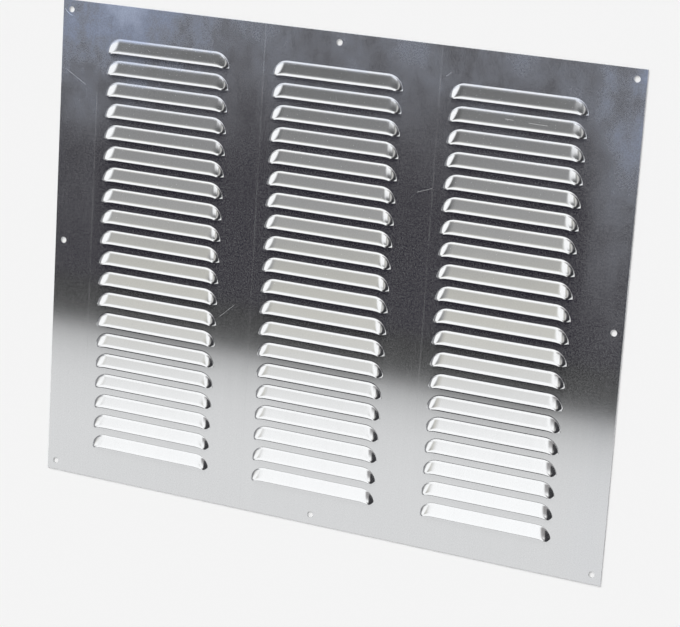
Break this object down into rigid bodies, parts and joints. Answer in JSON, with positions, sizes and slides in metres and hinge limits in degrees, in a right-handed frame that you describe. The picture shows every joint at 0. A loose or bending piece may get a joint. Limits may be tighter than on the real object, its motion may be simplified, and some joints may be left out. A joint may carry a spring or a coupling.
{
  "type": "louvred sheet metal panel",
  "caption": "Flat rectangular aluminium ventilation panel with columns of pressed louvres and small fixing holes along its edges.",
  "frame": {"origin": "centre of the sheet's flat back face", "axes": "+X along the sheet's width, +Y up as it hangs, towards the closed tops of the louvres, +Z out of its front"},
  "size_m": [0.45, 0.36, 0.0042],
  "materials": {
    "mill_aluminium": "bright mill finish, bare, with light handling marks"
  },
  "bodies": {
    "root": {"louvre_panel": "mill_aluminium"}
  },
  "joints": []
}
